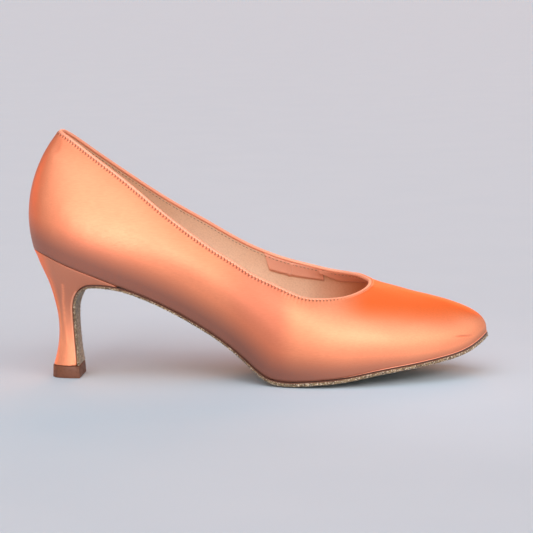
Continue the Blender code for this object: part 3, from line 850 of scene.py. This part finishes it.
def sewingThread(name, light, dark, roughness):
    # a twist of 0.3 mm, as in the real thread
    material, tree, coords = newMaterial(name)
    twist = addNode(tree, "TexNoise", {"Vector": coords, "Scale": 1 / (0.3 * mm), "Detail": 1.0})
    colour = addNode(tree, "Mix", {0: twist, 6: light, 7: dark}, data_type="RGBA")
    shader = addNode(tree, "BsdfPrincipled", {"Base Color": colour, "Roughness": roughness})
    addNode(tree, "OutputMaterial", {"Surface": shader})
    return material


# Thread: polyester sewing thread, dyed to match, coloured darker with painted shade for the shadow of its
# holes.
sewing = sewingThread("polyesterThread", "#B0664C", "#8E4E38", 0.6)
finishPiece("collarStitches", seam, [sewing], "binding")

# the seam that holds the lining, seen inside as small dark stitches, on the tape too where it lies
liningSeam = {"pitch": 2.1 * mm, "drop": 2.35 * mm, "length": 1.35 * mm, "radius": 0.17 * mm,
              "lift": 0.08 * mm, "overTape": 0.48 * mm, "tapeFrom": 99 * mm}
seamRun = bmesh.new()
liningCount = round(collarLength / liningSeam["pitch"])
for k in range(liningCount):
    place, along = collarFrame(k * collarLength / liningCount)
    point, normal, index, gap = innerTree.find_nearest(place)
    point, normal = pointBelow(innerTree, place, downWall(along, normal), liningSeam["drop"])
    lift = liningSeam["overTape"] if point.x > liningSeam["tapeFrom"] else liningSeam["lift"]
    addStitch(seamRun, point + normal * lift, along, normal, liningSeam["length"], liningSeam["radius"])

# Lining thread: spun polyester, grey brown, matt.
spun = sewingThread("spunPolyester", "#A08470", "#846A58", 0.7)
finishPiece("liningStitches", seamRun, [spun], "lining")

# inside: the stay tape round the throat, in two lengths, whose ends are given as places along the shoe in mm
tape = {
    "firstFrom": 101.0, "firstTo": 131.5, "secondFrom": 130.0, "secondTo": 104.0,
    "top": 0.3 * mm, "width": 9.4 * mm, "frontWidth": 8.8 * mm, "slant": 5.6 * mm,
    "thickness": 0.30 * mm, "foldRun": 15.4 * mm, "foldHeight": 0.85 * mm, "foldWidth": 0.45 * mm,
    "lapWidth": 3.2 * mm, "lapEnd": 0.09, "lapLift": 0.85 * mm, "rest": 0.40 * mm, "lift": 0.12 * mm,
    "rows": 6, "step": 0.6 * mm, "fewest": 8,
}


def tapeStrip(skin, runFrom, runTo, widthAt, slantAt, liftAt):
    # a strip of tape on the inner wall, along the collar
    length = abs(runTo - runFrom)
    columns = max(tape["fewest"], round(length / tape["step"]))
    rows = tape["rows"]
    grid = bmesh.ops.create_grid(skin, x_segments=columns, y_segments=rows, size=1.0)
    verts = sorted(grid["verts"], key=lambda v: (round(v.co.x * columns * 4), v.co.y))
    for n, vert in enumerate(verts):
        column, row = divmod(n, rows + 1)
        down = 1 - row / rows
        share = column / columns
        run = runFrom + (runTo - runFrom) * share + slantAt(share, down)
        place, along = collarFrame(run % collarLength)
        point, normal, index, gap = innerTree.find_nearest(place)
        reach = tape["top"] + down * widthAt(share)
        point, normal = pointBelow(innerTree, place, downWall(along, normal), reach)
        vert.co = point + normal * (tape["lift"] + liftAt(share, down))


firstFrom, firstTo = runAt(tape["firstFrom"], 1), runAt(tape["firstTo"], 1)
secondFrom, secondTo = runAt(tape["secondFrom"], 1), runAt(tape["secondTo"], -1)
print("tape runs in mm:", [round(r / mm, 1) for r in (firstFrom, firstTo, secondFrom, secondTo)])
forwards = 1 if firstTo > firstFrom else -1


def firstSlant(share, down):
    # the first length's raw end is cut on the slant
    return forwards * tape["slant"] * down * max(0.0, 1 - 3 * share)


def foldLift(share, down):
    # the first length has a small fold across it
    offset = abs(firstTo - firstFrom) * share - tape["foldRun"]
    return tape["foldHeight"] * math.exp(-(offset / tape["foldWidth"]) ** 2)


def lapWidthAt(share):
    # the second length starts narrow, where it laps over the first
    return tape["lapWidth"] + (tape["frontWidth"] - tape["lapWidth"]) * softStep(share, 0, tape["lapEnd"])


def lapLift(share, down):
    # its lower edge stands off at the lap
    return tape["rest"] + tape["lapLift"] * (1 - softStep(share, 0, tape["lapEnd"])) * down


tapeSkin = bmesh.new()
tapeStrip(tapeSkin, firstFrom, firstTo, lambda share: tape["width"], firstSlant, foldLift)
tapeStrip(tapeSkin, secondFrom, secondTo, lapWidthAt, lambda share, down: 0.0, lapLift)
bmesh.ops.recalc_face_normals(tapeSkin, faces=tapeSkin.faces)
bmesh.ops.solidify(tapeSkin, geom=tapeSkin.faces[:], thickness=tape["thickness"])
bmesh.ops.recalc_face_normals(tapeSkin, faces=tapeSkin.faces)

# Stay tape: satin ribbon, coral, seen from its dull side. Its 0.2 mm threads are drawn at 0.6 mm to show.
ribbon, tree, coords = newMaterial("satinRibbon")
yarn = addNode(tree, "TexNoise", {"Vector": coords, "Scale": 1 / (0.6 * mm), "Detail": 2.0})
colour = addNode(tree, "Mix", {0: yarn, 6: "#FFC6AC", 7: "#F8B296"}, data_type="RGBA")
colour = throatShade(tree, coords, colour, "#E07430")
ribbed = addNode(tree, "Bump", {"Height": yarn, "Distance": 0.03 * mm})
shader = addNode(tree, "BsdfPrincipled", {"Base Color": colour, "Roughness": 0.6, "Normal": ribbed,
                                          "Sheen Weight": 0.2})
addNode(tree, "OutputMaterial", {"Surface": shader})
finishPiece("stayTape", tapeSkin, [ribbon], "lining")

# Sock: brushed cotton over thin foam, beige, its 0.4 mm grain drawn at 0.8 mm.
sockCloth, tree, coords = newMaterial("brushedCotton")
grain = addNode(tree, "TexNoise", {"Vector": coords, "Scale": 1 / (0.8 * mm), "Detail": 3.0})
blotch = addNode(tree, "TexNoise", {"Vector": coords, "Scale": 1 / (18 * mm), "Detail": 2.0})
colour = addNode(tree, "Mix", {0: blotch, 6: "#E8C4A0", 7: "#D8AE88"}, data_type="RGBA")
soft = addNode(tree, "Bump", {"Height": grain, "Distance": 0.06 * mm})
shader = addNode(tree, "BsdfPrincipled", {"Base Color": colour, "Roughness": 0.75, "Normal": soft})
addNode(tree, "OutputMaterial", {"Surface": shader})
sock = {"sharp": 50, "edgeCrease": 0.6, "levels": 1, "spread": 0.32 * mm}
skin = mergedSkin("insole")
markCreases(skin, sock["sharp"], sock["edgeCrease"])
skin = roundedSkin(skin, sock["levels"])
# its soft edge spreads towards the lining
applyMoves([(vert, vert.normal * Vector((1, 1, 0)) * sock["spread"]) for vert in skin.verts])
finishPiece("sock", skin, [sockCloth], "lining", "insole")

# the suede sole: nap on its underside, a dark line next to the upper and a fuzzy cut on its edge
sole = {
    "sharp": 40, "edgeCrease": 0.8, "levels": 2, "edgeCuts": 2, "flatFrom": 130 * mm,
    "darkLine": 0.46 * mm, "darkFade": (0.5, 1.25), "cleanRim": 0.3 * mm, "fuzzBelow": 0.3,
    "nap": 0.09 * mm, "roughEdge": 0.26 * mm, "coarse": 0.9 * mm, "coarseShare": 0.6, "fine": 0.4 * mm,
    "fibres": 3400, "fibreLength": 0.60 * mm, "fibreRadius": 0.08 * mm, "tipRadius": 0.02 * mm,
    "lengths": (0.5, 1.2), "wildness": 1.6, "standOff": 0.3, "seed": 1,
}
skin = mergedSkin("outsole")
skin.normal_update()
flat = [f for f in skin.faces if f.calc_center_median().x > sole["flatFrom"]]
underFaces = floodFaces(min(flat, key=lambda f: f.normal.z), sole["sharp"])
topFaces = floodFaces(max(flat, key=lambda f: f.normal.z), sole["sharp"])
for face in skin.faces:
    # for now 0 is the underside, 1 the top under the upper and 2 the cut edge
    face.material_index = 0 if face in underFaces else 1 if face in topFaces else 2
print("sole faces:", len(underFaces), "under,", len(topFaces), "on top,", len(skin.faces), "in all")
markCreases(skin, sole["sharp"], sole["edgeCrease"])
skin = roundedSkin(skin, sole["levels"])
upperEdge = treeOf(alongEdges([e for e in skin.edges if {f.material_index for f in e.link_faces} == {1, 2}]))
for cut in range(sole["edgeCuts"]):
    refine(skin, lambda v: any(f.material_index == 2 for f in v.link_faces))
edgeLayer = skin.verts.layers.float.new("edgeDark")
moves = []
for vert in skin.verts:
    kinds = {f.material_index for f in vert.link_faces}
    if 2 in kinds or 0 in kinds:
        found, index, distance = upperEdge.find(vert.co)
        vert[edgeLayer] = 1 - softStep(distance, *(share * sole["darkLine"] for share in sole["darkFade"]))
        depth = sole["roughEdge"] if 2 in kinds and distance > sole["cleanRim"] else sole["nap"]
        lift = sole["coarseShare"] * noise.noise(vert.co / sole["coarse"])
        lift += (1 - sole["coarseShare"]) * noise.noise(vert.co / sole["fine"])
        moves.append((vert, vert.normal * depth * lift))
    else:
        vert[edgeLayer] = 1.0
applyMoves(moves)
cutEdges = [e for e in skin.edges if {f.material_index for f in e.link_faces} == {0, 2}
            or (all(f.material_index == 2 for f in e.link_faces)
                and all(v[edgeLayer] < sole["fuzzBelow"] for v in e.verts))]
cutEdges.sort(key=lambda e: tuple(e.verts[0].co + e.verts[1].co))  # the same order in every run
for face in skin.faces:
    face.material_index = 0

# Suede: chrome-tanned split, brushed, greige, with a nap of 0.3 mm drawn at 1.3 mm so that it shows.
suede, tree, coords = newMaterial("chromeSuede")
nap = addNode(tree, "TexNoise", {"Vector": coords, "Scale": 1 / (1.3 * mm), "Detail": 4.0})
fleck = addNode(tree, "TexNoise", {"Vector": coords, "Scale": 1 / (0.7 * mm), "Detail": 1.0})
blotch = addNode(tree, "TexNoise", {"Vector": coords, "Scale": 1 / (4 * mm), "Detail": 3.0})
worn = addNode(tree, "MapRange", {"Value": nap, "From Min": 0.4, "From Max": 0.6})
colour = addNode(tree, "Mix", {0: worn, 6: "#9C8460", 7: "#544230"}, data_type="RGBA")
stain = addNode(tree, "MapRange", {"Value": blotch, "From Min": 0.35, "From Max": 0.75, "To Max": 0.4})
colour = addNode(tree, "Mix", {0: stain, 6: colour, 7: "#66523E"}, data_type="RGBA")
tips = addNode(tree, "MapRange", {"Value": fleck, "From Min": 0.56, "From Max": 0.63, "To Max": 0.85})
colour = addNode(tree, "Mix", {0: tips, 6: colour, 7: "#E6D6BC"}, data_type="RGBA")
edge = addNode(tree, "Attribute", attribute_name="edgeDark")
darkBand = addNode(tree, "MapRange", {"Value": edge.outputs["Fac"], "From Min": 0.1, "From Max": 0.9})
colour = addNode(tree, "Mix", {0: darkBand, 6: colour, 7: "#683C28"}, data_type="RGBA")
brushed = addNode(tree, "Bump", {"Height": nap, "Distance": 0.25 * mm})
shader = addNode(tree, "BsdfPrincipled", {"Base Color": colour, "Roughness": 0.95, "Normal": brushed,
                                          "Sheen Weight": 0.3})
addNode(tree, "OutputMaterial", {"Surface": shader})

# short fibres that stand off the cut edge, spread over it by fixed steps that never fall into a rhythm
print("edges that carry fibres:", len(cutEdges))
noise.seed_set(sole["seed"])  # noise_vector takes its offsets from the seed
fuzz = bmesh.new()
least, spread = sole["lengths"]
for k in range(sole["fibres"]):
    first, second = sorted(cutEdges[(k * 37) % len(cutEdges)].verts, key=lambda v: tuple(v.co))
    wild = noise.noise_vector((k * 1.7, k * 0.31, 0))
    place = first.co.lerp(second.co, (k * 0.618) % 1.0)
    outwards = (first.normal + sole["wildness"] * wild).normalized()
    length = sole["fibreLength"] * (least + spread * ((k * 0.377) % 1.0))
    turn = outwards.to_track_quat("Z", "Y").to_matrix().to_4x4()
    turn.translation = place + outwards * sole["standOff"] * length
    bmesh.ops.create_cone(fuzz, cap_ends=True, segments=3, radius1=sole["fibreRadius"],
                          radius2=sole["tipRadius"], depth=length, matrix=turn)
finishPiece("suedeSole", skin, [suede], "suede", "outsole")
finishPiece("soleFibres", fuzz, [suede], "suede")

# the covered heel: satin pulled round a moulded core, turned in along the breast
heel = {
    "sharp": 50, "edgeCrease": 0.7, "levels": 2,
    "turnIn": 0.16 * mm, "turnInWidth": 0.7 * mm, "seamTop": 45 * mm, "seamFoot": 7.2 * mm,
    "unevenness": 0.05 * mm, "waveAcross": 2.2, "waveDown": 40,  # the waves' sizes in mm
    "dimmed": 0.62, "shadeOver": (8 * mm, 44 * mm), "facingBack": (0.50, 0.90), "backFrom": (24 * mm, 40 * mm),
    "turnInUnshaded": 0.7, "backUnshaded": 0.9,
}
# pleats that run down the neck: places, width and height in mm, and how much of the heel's painted shade
# each takes away, as a painted highlight along it
pleats = [
    ([(-6.5, -12, 52), (-4.8, -8, 42), (-4.6, -6.5, 30), (-4.5, -7, 16)], 0.8, 0.16, 0.75),
    ([(1.5, -14, 50), (0.4, -8, 40), (0.0, -6.5, 30), (0.5, -7, 18)], 0.8, 0.14, 0.65),
    ([(-2.0, -11, 47), (-2.3, -7, 34), (-2.2, -7, 20)], 0.8, -0.05, -0.1),
    ([(-5.0, 8, 42), (-4.6, 6.5, 30), (-4.5, 7, 16)], 0.8, 0.14, 0.5),
]
skin = mergedSkin("heel")
markCreases(skin, heel["sharp"], heel["edgeCrease"])
breastEdges = [e for e in skin.edges if len(e.link_faces) == 2
               and e.calc_face_angle(0) > math.radians(heel["sharp"])
               and e.verts[0].co.z < heel["seamTop"] and min(v.co.z for v in e.verts) > heel["seamFoot"]]
breastTree = treeOf(alongEdges(breastEdges))
skin = roundedSkin(skin, heel["levels"])
heelTree = partTree(skin, {0})
pleatTrees = [(treeOf(snappedPath(heelTree, points)), width * mm, height * mm, highlightShare)
              for points, width, height, highlightShare in pleats]
# the heel's satin takes its tints, painted shade, painted reflection and painted highlight, from the same
# attributes as the upper's
marks = {name: skin.verts.layers.float.new(name) for name in ("mauveShade", "ridgeAndHighlight", "warmReflection")}
moves = []
for vert in skin.verts:
    point = vert.co
    found, index, distance = breastTree.find(point)
    turnedIn = math.exp(-(distance / heel["turnInWidth"]) ** 2)
    across, down = heel["waveAcross"], heel["waveDown"]
    stretched = Vector((point.x / across, point.y / across, point.z / down)) / mm
    lift = heel["turnIn"] * turnedIn + heel["unevenness"] * noise.noise(stretched)
    # painted warm reflection on the strip that faces back, high on the heel
    backReflection = softStep(-vert.normal.x, *heel["facingBack"]) * softStep(point.z, *heel["backFrom"])
    # painted shade: the heel darkened towards its top, less on the turned-in edge, the back strip and the
    # pleats
    shade = heel["dimmed"] * softStep(point.z, *heel["shadeOver"])
    shade *= (1 - heel["turnInUnshaded"] * turnedIn) * (1 - heel["backUnshaded"] * backReflection)
    for tree, width, height, highlightShare in pleatTrees:
        found, index, distance = tree.find(point)
        strength = math.exp(-(distance / width) ** 2)
        lift += height * strength
        # each pleat takes off painted shade, a painted highlight
        shade *= 1 - highlightShare * strength
    vert[marks["mauveShade"]] = shade
    # painted highlight along the turned-in edge
    vert[marks["ridgeAndHighlight"]] = turnedIn
    vert[marks["warmReflection"]] = backReflection
    moves.append((vert, vert.normal * lift))
applyMoves(moves)
heelSatin = satinCloth("duchessSatinOnHeel", (1, 1, 0.16))
finishPiece("heelCover", skin, [heelSatin], "satin", "heel")

# Top piece: moulded polyurethane, brown, matt, rubbed darker by the floor. Its grain is drawn at 0.9 mm.
topRubber, tree, coords = newMaterial("mouldedPolyurethane")
grain = addNode(tree, "TexNoise", {"Vector": coords, "Scale": 1 / (0.9 * mm), "Detail": 3.0})
scuff = addNode(tree, "TexNoise", {"Vector": coords, "Scale": 1 / (2.2 * mm), "Detail": 4.0})
colour = addNode(tree, "Mix", {0: grain, 6: "#824E34", 7: "#6A3E26"}, data_type="RGBA")
rubbed = addNode(tree, "MapRange", {"Value": scuff, "From Min": 0.5, "From Max": 0.75, "To Max": 0.6})
colour = addNode(tree, "Mix", {0: rubbed, 6: colour, 7: "#4E2A1A"}, data_type="RGBA")
rough = addNode(tree, "MapRange", {"Value": scuff, "From Min": 0.3, "From Max": 0.7,
                                   "To Min": 0.4, "To Max": 0.65})
moulded = addNode(tree, "Bump", {"Height": grain, "Distance": 0.05 * mm})
shader = addNode(tree, "BsdfPrincipled", {"Base Color": colour, "Roughness": rough, "Normal": moulded})
addNode(tree, "OutputMaterial", {"Surface": shader})
topPiece = {"sharp": 50, "bevel": 0.35 * mm, "segments": 3}
skin = mergedSkin("heel_tip")
sharp = [e for e in skin.edges if e.calc_face_angle(0) > math.radians(topPiece["sharp"])]
bmesh.ops.bevel(skin, geom=sharp, offset=topPiece["bevel"], affect="EDGES", segments=topPiece["segments"],
                profile=0.5, material=-1)
finishPiece("topPiece", skin, [topRubber], "top_piece", "heel_tip")
